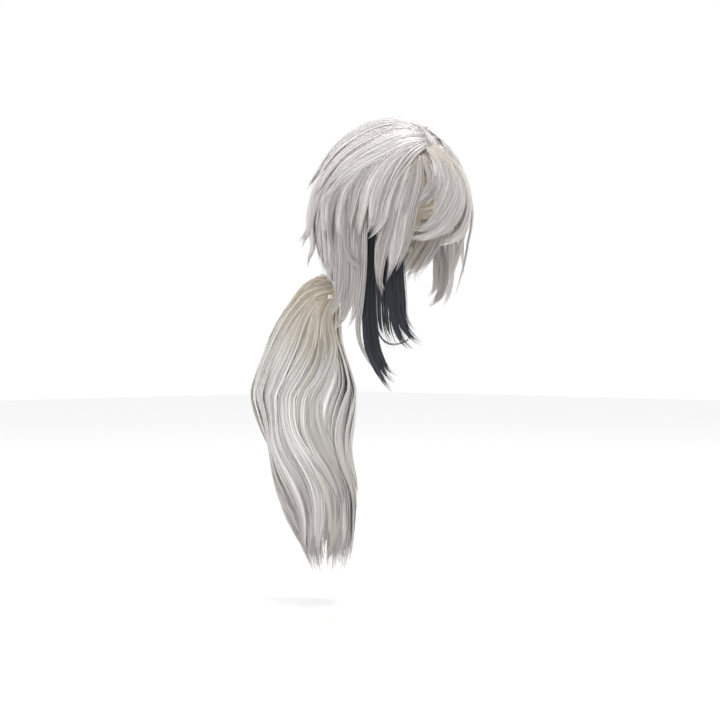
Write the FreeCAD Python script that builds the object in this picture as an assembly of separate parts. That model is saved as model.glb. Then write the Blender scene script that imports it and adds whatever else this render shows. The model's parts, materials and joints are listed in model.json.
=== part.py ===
import FreeCAD, Part
import math
import os

# Costume wig with side locks, a swept fringe and a long clip-on ponytail.
# Frame: the wearer faces -Y, the wearer's left is +X, up is +Z. The origin is the centre of the
# head cavity, level with the widest circumference of the head. All sizes are in millimetres.

# ---- driving dimensions -------------------------------------------------------------------

CAP = (76.0, 96.0, 111.0)        # semi-axes of the inner face of the cap
HAIR = (92.0, 113.0, 132.0)      # semi-axes of the outer face of the head hair

NET_THICKNESS = 1.0
BAND_THICKNESS = 1.6
TRACK_INNER = 1.8                # tracks stand this far out from the inner face of the cap
TRACK_OUTER = 3.0
HAIR_INNER = 3.3
FRINGE_INNER = 8.0               # the fringe lifts, so it keeps clear of the cap
STRAP_THICKNESS = 1.0
SEAM_GAP = 0.15                  # room between layers sewn on each other

TRACK_COUNT = 8
TRACK_HEIGHT = 7.0
TRACK_BOTTOM = -50.0
TRACK_PITCH = 16.0
TRACK_FRONT = -36.0              # the upper tracks end here, in front of the ears
TRACK_LOW_FRONT = 40.0           # the lowest track ends here, behind the side locks
TRACK_LEAN = 0.8                 # the ends come forward by this much for each rise of one

CROWN_SPLIT = 62.0               # height where the crown hair starts
LOCK_SPLIT = 14.0                # height where the hanging locks start
FRINGE_SPLIT = -62.0             # the fringe lies in front of this plane
FRINGE_HALF_WIDTH = 56.5         # the fringe lies between the front locks
BODY_GAP = 0.6                   # room between hair that moves and hair that doesn't

BUN_RADIUS = 9.0
NECK_RADIUS = 5.5
NECK_REACH = 36.0                # from the bun's centre forward into the head hair
TIE_RADIUS = 1.4
TIE_SET_FORWARD = 3.3            # from the front of the bun
CLIP_CENTRE = (0.0, 110.0, -80.0)
JAW_INNER_RADIUS = 11.0
JAW_THICKNESS = 2.0
JAW_HEIGHT = 32.0
JAW_GAP = 1.6                    # between the two closed jaws
JAW_REACH = 9.5                  # how far the teeth come forward of the clip's centre
JAW_TEETH = 5
TOOTH_GAP = 2.8
ROOT_HAIR_THICKNESS = 6.0
ROOT_HAIR_REACH = 8.0            # how far the hair on the jaws comes forward of the clip's centre
PIN_RADIUS = 1.5
PIN_CLEARANCE = 0.06
PIN_OVERHANG = 1.0               # past each end of the jaws
PIN_HEAD_RADIUS = 2.55
PIN_HEAD_HEIGHT = 1.0
PIN_CENTRE_Y = 126.5
KNUCKLE_RADIUS = 3.4
KNUCKLE_LENGTH = 5.0
KNUCKLE_GAP = 0.5
KNUCKLE_ROOM = 0.6               # cut from a jaw round the other jaw's knuckles
KNUCKLE_END_ROOM = 0.4           # and past their ends
WEB_LENGTH = 6.5                 # the webs join the knuckles to the jaws
WEB_REACH = 8.0
LEVER_INNER = 5.2
LEVER_OUTER = 7.4
LEVER_LENGTH = 4.5               # behind the pin
LEVER_HALF_HEIGHT = 9.0
LEVER_FILLET = 0.9
SPRING_ROOM = 9.0                # the gap between the two pairs of knuckles
SPRING_END_GAP = 0.6
SPRING_WIRE_RADIUS = 0.45
SPRING_BORE_ROOM = 1.0           # between the pin and the wire
SPRING_PITCH = 1.05

TAIL_PIVOT = (0.0, 133.0, -107.0)
KNOT_RADIUS = 4.0
KNOT_ROOM = 0.5
TAB_HALF_WIDTH = 5.0
TAB_OVERLAP = 4.0                # how far the tab reaches past the pin and past the pivot
TAB_RISE = 2.5                   # from the pivot to the tab's lower face
TAB_FILLET = 1.0
BINDING_RADIUS = 5.0
BINDING_HEIGHT = 4.0
BINDING_GAP = 0.1                # between the hair's cut ends and the thread
BINDING_FILLET = 0.8
CREST_GAP = 0.3                  # between the tab and the hair over the back of the clip
# Level sections of the hair over the back of the clip: (y, height, half width, half thickness).
CREST_SECTIONS = [(145, 0, 22, 11), (144, 10, 20, 10), (141, 20, 15, 7), (138, 28, 8, 3.5)]

REACH = 200.0                    # longer than anything that is cut

# ---- shapes used again and again ----------------------------------------------------------


def ellipsoid(semi_axes):
    """A solid ellipsoid about the origin."""
    matrix = FreeCAD.Matrix()
    matrix.scale(*semi_axes)
    return Part.makeSphere(1.0).transformGeometry(matrix)


def cap_layer(offset):
    """The inner face of the cap, grown by an offset on every semi-axis."""
    return ellipsoid([axis + offset for axis in CAP])


def side_profile(points, x_low=-REACH, x_high=REACH):
    """A prism along X with a side-view outline given as (y, z) points."""
    corners = [FreeCAD.Vector(x_low, y, z) for y, z in points]
    face = Part.Face(Part.makePolygon(corners + corners[:1]))
    return face.extrude(FreeCAD.Vector(x_high - x_low, 0, 0))


def front_profile(points, y_low=-REACH, y_high=REACH):
    """A prism along Y with a front-view outline given as (x, z) points."""
    corners = [FreeCAD.Vector(x, y_low, z) for x, z in points]
    face = Part.Face(Part.makePolygon(corners + corners[:1]))
    return face.extrude(FreeCAD.Vector(0, y_high - y_low, 0))


def block(low, high):
    """A box between two corners."""
    size = [h - l for l, h in zip(low, high)]
    return Part.makeBox(*size, FreeCAD.Vector(*low))


def shell_piece(region, outer, inner):
    """The part of a region that lies between two ellipsoids."""
    return region.common(outer).cut(inner)


def mirrored(shape):
    """The same shape on the other side of the wearer."""
    return shape.mirror(FreeCAD.Vector(0, 0, 0), FreeCAD.Vector(1, 0, 0))


def lock(sections):
    """A tapering lock of hair through level ellipses: (x, y, z, half width, half depth, turn)."""
    wires = []
    for x, y, z, half_width, half_depth, turn in sections:
        ellipse = Part.Ellipse(FreeCAD.Vector(0, 0, 0), half_width, half_depth)
        wire = Part.Wire([ellipse.toShape()])
        wire.rotate(FreeCAD.Vector(0, 0, 0), FreeCAD.Vector(0, 0, 1), turn)
        wire.translate(FreeCAD.Vector(x, y, z))
        wires.append(wire)
    return Part.makeLoft(wires, True, False)


def cylinder(centre, radius, height, direction=(0, 0, 1)):
    """A cylinder from a centre point of its first end face."""
    return Part.makeCylinder(radius, height, FreeCAD.Vector(*centre), FreeCAD.Vector(*direction))


# ---- the cap ------------------------------------------------------------------------------

# Side-view outlines as (y, z). Neighbours share their corner points, so they meet edge to edge.
HAIRLINE = [(-REACH, 48), (-86, 48), (-68, 26), (-56, 8)]
HAIRLINE_SEAM = [(-REACH, 61), (-82, 61), (-60, 38), (-48, 21)]
EAR_REAR = (-22, 9)
EAR_REAR_SEAM = (-22, 21)
NAPE_EDGE = [EAR_REAR, (14, 9), (32, -18), (46, -60), (REACH, -74)]
NAPE_SEAM = [EAR_REAR_SEAM, (20, 21), (43, -12), (57, -47), (REACH, -60)]


def make_cap():
    """The net bowl and the two folded bands along its rim."""
    inner = cap_layer(0.0)
    net_outer = cap_layer(NET_THICKNESS)
    band_outer = cap_layer(BAND_THICKNESS)
    front = side_profile(HAIRLINE + [EAR_REAR, EAR_REAR_SEAM] + HAIRLINE_SEAM[::-1])
    nape = side_profile(NAPE_EDGE + NAPE_SEAM[::-1])
    top = side_profile(HAIRLINE_SEAM + NAPE_SEAM + [(REACH, REACH), (-REACH, REACH)])
    return {
        "cap_net": shell_piece(top, net_outer, inner),
        "front_band": shell_piece(front, band_outer, inner),
        "nape_band": shell_piece(nape, band_outer, inner),
    }


def make_ear_tabs():
    """A fabric tab in front of each ear, with a thin metal stay lying in a slot in it."""
    tab_outline = [(-56, 8), (-50, -12), (-32, -14), (-26, -6), (-22, 9)]
    stay_outline = [(-41.5, 4), (-40.5, -9), (-37.5, -9), (-37.5, 4)]
    tab = shell_piece(
        side_profile(tab_outline, 0, REACH), cap_layer(BAND_THICKNESS), cap_layer(0.0)
    )
    slot = shell_piece(side_profile(stay_outline, 0, REACH), cap_layer(1.2), cap_layer(0.4))
    tab = tab.cut(slot)
    return {
        "ear_tab_left": tab,
        "ear_tab_right": mirrored(tab),
        "ear_stay_left": slot,
        "ear_stay_right": mirrored(slot),
    }


def make_crown_straps():
    """Three elastic straps on the inside of the net, from the front band to the nape band."""
    outer = cap_layer(-SEAM_GAP)
    inner = cap_layer(-SEAM_GAP - STRAP_THICKNESS)
    run = side_profile([(-84, 63), (-62, 40), (57, -44), (REACH, -56), (REACH, REACH), (-REACH, REACH)])
    straps = {}
    for name, centre in [("centre", 0.0), ("left", 38.0), ("right", -38.0)]:
        strip = block((centre - 4, -REACH, -REACH), (centre + 4, REACH, REACH))
        straps["crown_strap_" + name] = shell_piece(run.common(strip), outer, inner)
    return straps


def make_tracks():
    """Sewn weft tracks that run round the back of the cap, one above the other."""
    outer = cap_layer(TRACK_OUTER)
    inner = cap_layer(TRACK_INNER)
    tracks = {}
    for number in range(TRACK_COUNT):
        bottom = TRACK_BOTTOM + number * TRACK_PITCH
        front = max(TRACK_FRONT, TRACK_LOW_FRONT - TRACK_LEAN * (bottom - TRACK_BOTTOM))
        band = block((-REACH, front, bottom), (REACH, REACH, bottom + TRACK_HEIGHT))
        tracks["weft_track_%d" % (number + 1)] = shell_piece(band, outer, inner)
    return tracks


def make_parting_patch():
    """A small skin-coloured patch on top of the net, under the parting."""
    outline = [(-9, -78), (37, -78), (37, -26), (-9, -26)]
    corners = [FreeCAD.Vector(x, y, 0) for x, y in outline]
    region = Part.Face(Part.makePolygon(corners + corners[:1])).extrude(FreeCAD.Vector(0, 0, REACH))
    patch = shell_piece(region, cap_layer(TRACK_INNER), cap_layer(NET_THICKNESS + SEAM_GAP))
    above_band = side_profile([(-81, 63), (-22, 63), (-22, REACH), (-81, REACH)])
    return {"parting_patch": patch.common(above_band)}


# The adjusting straps run straight across the inside of the nape, one on each side.
STRAP_START = (63.0, 43.0, -40.0)
STRAP_END = (6.0, 87.0, -50.0)
STRAP_WIDTH = 8.0
SLIDER_AT = 0.36                 # how far along the strap the slider rests
SLIDER_LENGTH = 7.0
SLIDER_WALL = 1.4
SLIDER_ROOM = 0.4


def bar_along(start, end, from_distance, length, width, depth):
    """A rectangular bar on the line between two points, its width kept upright."""
    line = FreeCAD.Vector(*end) - FreeCAD.Vector(*start)
    along = FreeCAD.Vector(line).normalize()
    outward = along.cross(FreeCAD.Vector(0, 0, 1)).normalize()
    upright = outward.cross(along)
    base = FreeCAD.Vector(*start) + along * from_distance
    corner = base - outward * (depth / 2) - upright * (width / 2)
    face = Part.Face(Part.makePolygon([
        corner,
        corner + outward * depth,
        corner + outward * depth + upright * width,
        corner + upright * width,
        corner,
    ]))
    return face.extrude(along * length)


def make_adjusters():
    """Each adjusting strap, with the slider that grips it."""
    length = (FreeCAD.Vector(*STRAP_END) - FreeCAD.Vector(*STRAP_START)).Length
    strap = bar_along(STRAP_START, STRAP_END, 0.0, length, STRAP_WIDTH, STRAP_THICKNESS)
    strap = strap.common(cap_layer(-SEAM_GAP))
    slider_from = SLIDER_AT * length
    hole_width = STRAP_WIDTH + 2 * SLIDER_ROOM
    hole_depth = STRAP_THICKNESS + 2 * SLIDER_ROOM
    block_width = hole_width + 2 * SLIDER_WALL
    block_depth = hole_depth + 2 * SLIDER_WALL
    slider = bar_along(STRAP_START, STRAP_END, slider_from, SLIDER_LENGTH, block_width, block_depth)
    slider = slider.makeFillet(0.5, slider.Edges)
    hole = bar_along(
        STRAP_START, STRAP_END, slider_from - 1, SLIDER_LENGTH + 2, hole_width, hole_depth
    )
    slider = slider.cut(hole)
    return {
        "adjuster_strap_left": strap,
        "adjuster_strap_right": mirrored(strap),
        "adjuster_slider_left": slider,
        "adjuster_slider_right": mirrored(slider),
    }


# ---- hair on the cap ----------------------------------------------------------------------


def make_fixed_hair():
    """The hair that stays on the cap: crown, back, temples and nape, meeting edge to edge."""
    outer = ellipsoid(HAIR)
    inner = cap_layer(HAIR_INNER)
    crown = block((-REACH, -REACH, CROWN_SPLIT), (REACH, REACH, REACH))
    upper = side_profile([(6, LOCK_SPLIT), (REACH, LOCK_SPLIT), (REACH, CROWN_SPLIT), (6, CROWN_SPLIT)])
    lower = side_profile([(40, LOCK_SPLIT), (48, -62), (REACH, -62), (REACH, LOCK_SPLIT)])
    nape = side_profile([(48, -62), (54, -80), (REACH, -80), (REACH, -62)])
    temple_outline = [
        (FRINGE_SPLIT, LOCK_SPLIT), (6, LOCK_SPLIT), (6, CROWN_SPLIT), (FRINGE_SPLIT, CROWN_SPLIT)
    ]
    temple = side_profile(temple_outline, 0, REACH)
    temple_piece = shell_piece(temple, outer, inner)
    return {
        "crown_hair": shell_piece(crown, outer, inner),
        "back_hair_upper": shell_piece(upper, outer, inner),
        "back_hair_lower": shell_piece(lower, outer, inner),
        "nape_hair": shell_piece(nape, outer, inner),
        "temple_hair_left": temple_piece,
        "temple_hair_right": mirrored(temple_piece),
    }


def make_fringe():
    """The fringe: a wide sweep across the brow, a longer left end and a narrow right wisp."""
    outer = ellipsoid(HAIR)
    inner = cap_layer(FRINGE_INNER)
    top = CROWN_SPLIT - BODY_GAP
    front = FRINGE_SPLIT - BODY_GAP
    outlines = {
        "fringe_centre": [(-26, top), (-26, 12), (-6, -22), (24, -12), (24, top)],
        "fringe_left": [(24, top), (24, -12), (40, -30), (56.5, -34), (FRINGE_HALF_WIDTH, top)],
        "fringe_wisp": [(-FRINGE_HALF_WIDTH, top), (-FRINGE_HALF_WIDTH, -26), (-50, -26), (-44, top)],
    }
    return {
        name: shell_piece(front_profile(outline, -REACH, front), outer, inner)
        for name, outline in outlines.items()
    }


LOCK_TOP = LOCK_SPLIT - BODY_GAP


def make_side_locks():
    """Locks that hang in front of the ears; two black ones hang under the white on the right."""
    return {
        "front_lock_right": lock([
            (-70, -62, LOCK_TOP, 20, 6.0, -58),
            (-74, -64, -30, 21, 6.5, -62),
            (-76, -66, -70, 15, 5.0, -66),
            (-76, -68, -103, 2.5, 1.5, -70),
        ]),
        "side_lock_right": lock([
            (-86, 2, LOCK_TOP, 30, 5.5, -88),
            (-87, -4, -30, 32, 5.5, -88),
            (-87, -12, -80, 28, 5.5, -86),
            (-86, -8, -114, 18, 4.5, -84),
            (-83, 6, -142, 2.5, 1.5, -84),
        ]),
        "black_lock_back": lock([
            (-71, -34, -26, 11, 3.4, -80),
            (-74, -36, -80, 13, 4.5, -80),
            (-72, -44, -150, 11, 4.5, -76),
            (-66, -56, -192, 6, 3.0, -70),
            (-62, -62, -216, 1.5, 1.2, -70),
        ]),
        "black_lock_front": lock([
            (-61.5, -62, -17, 8, 2.6, -60),
            (-62.5, -66, -60, 9, 3.0, -64),
            (-62.5, -74, -110, 9, 3.0, -66),
            (-58, -83, -140, 8, 3.0, -58),
            (-50, -91, -166, 1.6, 1.2, -50),
        ]),
        "front_lock_left": lock([
            (70, -62, LOCK_TOP, 20, 6.0, 58),
            (71, -64, -30, 17, 5.5, 60),
            (68, -68, -70, 11, 4.5, 60),
            (64, -70, -102, 2.5, 1.5, 60),
        ]),
        "side_lock_left": lock([
            (86, 2, LOCK_TOP, 30, 5.5, 88),
            (87, 0, -30, 28, 5.5, 88),
            (86, 2, -76, 19, 5.5, 86),
            (82, 8, -116, 2.5, 1.5, 84),
        ]),
    }


# ---- the bun and the claw clip --------------------------------------------------------------


def make_bun():
    """The tied stub of nape hair that the clip grips, and its elastic tie."""
    x, y, z = CLIP_CENTRE
    neck_start = y - NECK_REACH
    neck_end = y - BUN_RADIUS * 0.7
    neck = cylinder((x, neck_start, z), NECK_RADIUS, neck_end - neck_start, (0, 1, 0))
    neck = neck.cut(ellipsoid([axis + SEAM_GAP for axis in HAIR]))
    ball = Part.makeSphere(BUN_RADIUS, FreeCAD.Vector(x, y, z))
    tie_at = FreeCAD.Vector(x, y - BUN_RADIUS - TIE_SET_FORWARD, z)
    tie = Part.makeTorus(NECK_RADIUS + TIE_RADIUS + SEAM_GAP, TIE_RADIUS, tie_at, FreeCAD.Vector(0, 1, 0))
    return {"hair_bun": neck.fuse(ball).removeSplitter(), "hair_tie": tie}


def knuckle_rows():
    """The hinge knuckles on the pin as (jaw, bottom, top): a pair below the spring and one above."""
    pair = 2 * KNUCKLE_LENGTH + KNUCKLE_GAP
    lowest = CLIP_CENTRE[2] - SPRING_ROOM / 2 - pair
    rows = []
    for low in (lowest, lowest + pair + SPRING_ROOM):
        rows.append(("left", low, low + KNUCKLE_LENGTH))
        rows.append(("right", low + pair - KNUCKLE_LENGTH, low + pair))
    return rows


def make_jaws():
    """The two toothed jaws round the bun, with their levers and hinge knuckles."""
    x, y, z = CLIP_CENTRE
    low = z - JAW_HEIGHT / 2
    high = z + JAW_HEIGHT / 2
    ring = cylinder((x, y, low), JAW_INNER_RADIUS + JAW_THICKNESS, JAW_HEIGHT).cut(
        cylinder((x, y, low - 1), JAW_INNER_RADIUS, JAW_HEIGHT + 2)
    )
    half = block((JAW_GAP / 2, y - JAW_REACH, low), (REACH, PIN_CENTRE_Y - KNUCKLE_RADIUS - KNUCKLE_ROOM, high))
    jaw = ring.common(half)
    tooth_pitch = JAW_HEIGHT / JAW_TEETH
    for number in range(1, JAW_TEETH):
        slot_low = low + number * tooth_pitch - TOOTH_GAP / 2
        jaw = jaw.cut(block((0, y - REACH, slot_low), (REACH, y - 1, slot_low + TOOTH_GAP)))
    web_front = PIN_CENTRE_Y - WEB_LENGTH
    lever = block(
        (LEVER_INNER, web_front, z - LEVER_HALF_HEIGHT),
        (LEVER_OUTER, PIN_CENTRE_Y + LEVER_LENGTH, z + LEVER_HALF_HEIGHT),
    )
    jaw = jaw.fuse(lever.makeFillet(LEVER_FILLET, lever.Edges))

    jaws = {"left": jaw, "right": mirrored(jaw)}
    web_ends = {"left": (0.0, WEB_REACH), "right": (-WEB_REACH, 0.0)}
    for name, bottom, top in knuckle_rows():
        barrel = cylinder((x, PIN_CENTRE_Y, bottom), KNUCKLE_RADIUS, top - bottom)
        inner, outer = web_ends[name]
        web = block((inner, web_front, bottom), (outer, PIN_CENTRE_Y - 1, top))
        jaws[name] = jaws[name].fuse([barrel, web])
    for name in jaws:
        bore = cylinder((x, PIN_CENTRE_Y, low - 5), PIN_RADIUS + PIN_CLEARANCE, JAW_HEIGHT + 10)
        jaws[name] = jaws[name].cut(bore).removeSplitter()
        for other, bottom, top in knuckle_rows():
            if other != name:
                room = cylinder(
                    (x, PIN_CENTRE_Y, bottom - KNUCKLE_END_ROOM), KNUCKLE_RADIUS + KNUCKLE_ROOM,
                    top - bottom + 2 * KNUCKLE_END_ROOM,
                )
                jaws[name] = jaws[name].cut(room)
    return jaws


def make_pin():
    """The hinge pin, with a rivet head past each end of the jaws."""
    low = CLIP_CENTRE[2] - JAW_HEIGHT / 2 - PIN_OVERHANG
    high = CLIP_CENTRE[2] + JAW_HEIGHT / 2 + PIN_OVERHANG
    pin = cylinder((0, PIN_CENTRE_Y, low), PIN_RADIUS, high - low)
    for end, direction in [(low, -1), (high, 1)]:
        head = cylinder((0, PIN_CENTRE_Y, end), PIN_HEAD_RADIUS, PIN_HEAD_HEIGHT, (0, 0, direction))
        pin = pin.fuse(head)
    return pin.removeSplitter()


def make_spring():
    """Turns of the torsion spring round the pin, in the gap between the knuckles."""
    coil_radius = PIN_RADIUS + SPRING_BORE_ROOM + SPRING_WIRE_RADIUS
    height = SPRING_ROOM - 2 * SPRING_END_GAP - 2 * SPRING_WIRE_RADIUS
    helix = Part.makeHelix(SPRING_PITCH, height, coil_radius)
    start = FreeCAD.Vector(coil_radius, 0, 0)
    profile = Part.Wire([Part.makeCircle(SPRING_WIRE_RADIUS, start, FreeCAD.Vector(0, 1, 0))])
    sweep = Part.BRepOffsetAPI.MakePipeShell(Part.Wire(helix.Edges))
    sweep.setFrenetMode(True)
    sweep.add(profile)
    sweep.build()
    sweep.makeSolid()
    spring = sweep.shape()
    spring.translate(FreeCAD.Vector(0, PIN_CENTRE_Y, CLIP_CENTRE[2] - height / 2))
    return spring


def make_clip():
    """The clip with the hair sewn on the outside of each jaw."""
    jaws = make_jaws()
    x, y, z = CLIP_CENTRE
    low = z - JAW_HEIGHT / 2
    inner_radius = JAW_INNER_RADIUS + JAW_THICKNESS + SEAM_GAP
    hair_ring = cylinder((x, y, low), inner_radius + ROOT_HAIR_THICKNESS, JAW_HEIGHT).cut(
        cylinder((x, y, low - 1), inner_radius, JAW_HEIGHT + 2)
    )
    half = block((WEB_REACH + BODY_GAP, y - ROOT_HAIR_REACH, low), (REACH, PIN_CENTRE_Y - 1, z + JAW_HEIGHT / 2))
    root_hair = hair_ring.common(half)
    return {
        "claw_jaw_left": jaws["left"],
        "claw_jaw_right": jaws["right"],
        "claw_pin": make_pin(),
        "claw_spring": make_spring(),
        "root_hair_left": root_hair,
        "root_hair_right": mirrored(root_hair),
    }


# ---- the ponytail -------------------------------------------------------------------------

# Level sections down the tail: (y, z, half width, half thickness). It fans out diagonally.
TAIL_TURN = -42.0
TAIL_SECTIONS = [
    (133, -114, 8, 8),
    (140, -125, 26, 20),
    (152, -148, 45, 34),
    (161, -180, 60, 42),
    (163, -224, 70, 46),
    (154, -262, 62, 43),
    (145, -315, 54, 38),
    (132, -370, 45, 31),
    (117, -412, 34, 24),
    (111, -444, 20, 14),
    (116, -473, 3, 3),
]


def make_tail():
    """The tab on the clip, the knot where the hair flexes, the thread binding and the hair."""
    x, y, z = TAIL_PIVOT
    socket = Part.makeSphere(KNOT_RADIUS + KNOT_ROOM, FreeCAD.Vector(x, y, z))
    tab_top = CLIP_CENTRE[2] - JAW_HEIGHT / 2 - PIN_OVERHANG - PIN_HEAD_HEIGHT
    tab = block(
        (-TAB_HALF_WIDTH, PIN_CENTRE_Y - TAB_OVERLAP, z + TAB_RISE),
        (TAB_HALF_WIDTH, y + TAB_OVERLAP, tab_top),
    )
    tab = tab.makeFillet(TAB_FILLET, tab.Edges).cut(socket)
    knot = Part.makeSphere(KNOT_RADIUS, FreeCAD.Vector(x, y, z))
    hair_top = TAIL_SECTIONS[0][1]
    binding = cylinder((x, y, hair_top + BINDING_GAP), BINDING_RADIUS, BINDING_HEIGHT)
    binding = binding.makeFillet(BINDING_FILLET, binding.Edges[:1]).cut(socket)
    sections = [(0, sy, sz, width, depth, TAIL_TURN) for sy, sz, width, depth in TAIL_SECTIONS]
    crest_bottom = tab_top + CREST_GAP
    crest = lock([(0, cy, crest_bottom + rise, width, depth, 0) for cy, rise, width, depth in CREST_SECTIONS])
    return {
        "tail_crest": crest,
        "tail_tab": tab,
        "tail_knot": knot,
        "tail_binding": binding,
        "ponytail": lock(sections),
    }


# ---- writing ------------------------------------------------------------------------------


def main():
    """Build every node, print what was made and write one STEP file per node."""
    os.makedirs("parts", exist_ok=True)
    makers = [
        make_cap, make_ear_tabs, make_crown_straps, make_tracks, make_parting_patch,
        make_adjusters, make_fixed_hair, make_fringe, make_side_locks, make_bun,
        make_clip, make_tail,
    ]
    nodes = {}
    for maker in makers:
        nodes.update(maker())
    for name, shape in nodes.items():
        box = shape.BoundBox
        centre = shape.Solids[0].CenterOfMass
        print("%-22s %-9s solids %d valid %s volume %9.1f  x %7.1f %7.1f  y %7.1f %7.1f  z %7.1f %7.1f"
              "  centre %.1f %.1f %.1f" % (
                  name, shape.ShapeType, len(shape.Solids), shape.isValid(), shape.Volume,
                  box.XMin, box.XMax, box.YMin, box.YMax, box.ZMin, box.ZMax, *centre))
        shape.exportStep("parts/%s.step" % name)


main()
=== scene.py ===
import json
import math

import bpy
import numpy as np
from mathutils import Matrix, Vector


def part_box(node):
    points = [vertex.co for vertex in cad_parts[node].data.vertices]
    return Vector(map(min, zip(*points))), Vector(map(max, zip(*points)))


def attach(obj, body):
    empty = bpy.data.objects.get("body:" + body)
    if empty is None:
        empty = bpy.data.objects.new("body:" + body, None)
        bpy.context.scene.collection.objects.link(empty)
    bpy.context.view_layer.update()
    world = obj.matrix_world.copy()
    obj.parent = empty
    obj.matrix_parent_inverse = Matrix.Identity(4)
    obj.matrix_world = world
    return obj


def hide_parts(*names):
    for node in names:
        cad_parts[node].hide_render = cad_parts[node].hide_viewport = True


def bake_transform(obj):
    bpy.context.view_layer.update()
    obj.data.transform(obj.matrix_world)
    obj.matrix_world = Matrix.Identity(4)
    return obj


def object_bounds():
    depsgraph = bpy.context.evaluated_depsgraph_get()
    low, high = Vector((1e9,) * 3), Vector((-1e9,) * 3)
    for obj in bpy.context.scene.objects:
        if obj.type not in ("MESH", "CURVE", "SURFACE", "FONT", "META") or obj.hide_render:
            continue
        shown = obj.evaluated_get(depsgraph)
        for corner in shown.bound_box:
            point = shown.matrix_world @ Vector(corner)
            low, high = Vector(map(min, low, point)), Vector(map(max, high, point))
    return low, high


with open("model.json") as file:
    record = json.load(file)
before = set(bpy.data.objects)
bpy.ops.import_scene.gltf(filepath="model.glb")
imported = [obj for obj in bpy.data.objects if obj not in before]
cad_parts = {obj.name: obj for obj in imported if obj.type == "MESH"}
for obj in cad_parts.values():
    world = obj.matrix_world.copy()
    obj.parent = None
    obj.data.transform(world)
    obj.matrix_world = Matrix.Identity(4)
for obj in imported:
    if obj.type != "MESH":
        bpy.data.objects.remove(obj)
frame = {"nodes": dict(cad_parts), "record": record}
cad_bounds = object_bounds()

# A costume wig on its sewn cap. Places are in millimetres in the CAD frame and become metres in
# the meshes: the wearer faces -Y, the wearer's left is +X, and the origin is the head's centre.
MM = 0.001

CAP_FACE = np.array([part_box("cap_net")[1][axis] for axis in range(3)]) / MM
ROOT_CLEARANCE = 3.2
HAIR_ROOTS = CAP_FACE + ROOT_CLEARANCE       # semi-axes where the hair starts, just off the cap
# The CAD nodes whose far faces give the outside of the head hair along X, Y and Z.
FACE_NODES = ("temple_hair_left", "back_hair_lower", "crown_hair")
HAIR_FACE = np.array([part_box(node)[1][axis] for axis, node in enumerate(FACE_NODES)]) / MM
BUN_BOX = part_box("hair_bun")
BUN_INSET = 9                                # from the back of the bun to its centre
BUN_CENTRE = np.array([0, BUN_BOX[1][1] / MM - BUN_INSET, (BUN_BOX[0][2] + BUN_BOX[1][2]) / 2 / MM])
WHORL = (14, 47)                             # azimuth and elevation where the parting ends

GUIDE_POINTS = 64                            # points on a smoothed hair path
SPAN_POINTS = 12                             # points worked out between two places of a path
SWOOP_POINTS = 9                             # places on a path over the head
STEPS = 15                                   # sections along a fibre

# ---- camera, light and floor --------------------------------------------------------------

CAMERA_AZIMUTH = math.radians(-45)
CAMERA_DISTANCE = 1.6
CAMERA_AIM = Vector((-0.0269, 0.0269, -0.178))
CAMERA_LENS_MM = 62.5
CAMERA_SENSOR_MM = 36
FLOOR_HALF = 8.0
FLOOR_DROP = 0.03                            # from the tip of the ponytail to the floor


def make_camera():
    """The camera, level with the middle of the wig, at the wearer's right front."""
    data = bpy.data.cameras.new("camera")
    data.lens = CAMERA_LENS_MM
    data.sensor_width = CAMERA_SENSOR_MM
    camera = bpy.data.objects.new("camera", data)
    away = Vector((math.sin(CAMERA_AZIMUTH), -math.cos(CAMERA_AZIMUTH), 0))
    camera.location = CAMERA_AIM + away * CAMERA_DISTANCE
    camera.rotation_euler = (-away).to_track_quat("-Z", "Y").to_euler()
    bpy.context.scene.collection.objects.link(camera)
    bpy.context.scene.camera = camera


def make_light(name, place, size, power):
    """A square area light that looks at the wig."""
    data = bpy.data.lights.new(name, "AREA")
    data.size = size
    data.energy = power
    light = bpy.data.objects.new(name, data)
    light.location = place
    light.rotation_euler = (CAMERA_AIM - light.location).to_track_quat("-Z", "Y").to_euler()
    bpy.context.scene.collection.objects.link(light)


def make_studio():
    """A white room: an even world, a key from above the camera's left, a top light, a fill and a
    floor."""
    world = bpy.data.worlds.new("studio")
    world.use_nodes = True
    world.node_tree.nodes["Background"].inputs["Color"].default_value = (1, 1, 1, 1)
    world.node_tree.nodes["Background"].inputs["Strength"].default_value = 1.0
    bpy.context.scene.world = world
    bpy.context.scene.view_settings.view_transform = "Standard"
    make_light("key", (-1.6, -0.9, 1.5), 0.9, 12)
    make_light("top", (0.3, -0.1, 1.9), 0.8, 34)
    make_light("fill", (-1.7, -0.7, 0.1), 1.4, 3)
    data = bpy.data.meshes.new("floor")
    level = cad_bounds[0][2] - FLOOR_DROP
    corners = [(x * FLOOR_HALF, y * FLOOR_HALF, level) for x, y in ((-1, -1), (1, -1), (1, 1), (-1, 1))]
    data.from_pydata(corners, [], [(0, 1, 2, 3)])
    floor = bpy.data.objects.new("floor", data)
    bpy.context.scene.collection.objects.link(floor)
    material = bpy.data.materials.new("floor")
    material.use_nodes = True
    shader = material.node_tree.nodes["Principled BSDF"]
    shader.inputs["Base Color"].default_value = (0.92, 0.92, 0.92, 1)
    shader.inputs["Roughness"].default_value = 0.9
    data.materials.append(material)


# ---- materials ----------------------------------------------------------------------------


def new_material(name):
    """A material with its node tree, and its Principled shader."""
    material = bpy.data.materials.new(name)
    material.use_nodes = True
    tree = material.node_tree
    return material, tree, tree.nodes["Principled BSDF"]


def add_node(tree, kind, settings=None, values=None):
    """A node with some settings and input values."""
    node = tree.nodes.new(kind)
    for key, value in (settings or {}).items():
        setattr(node, key, value)
    for key, value in (values or {}).items():
        node.inputs[key].default_value = value
    return node


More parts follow.
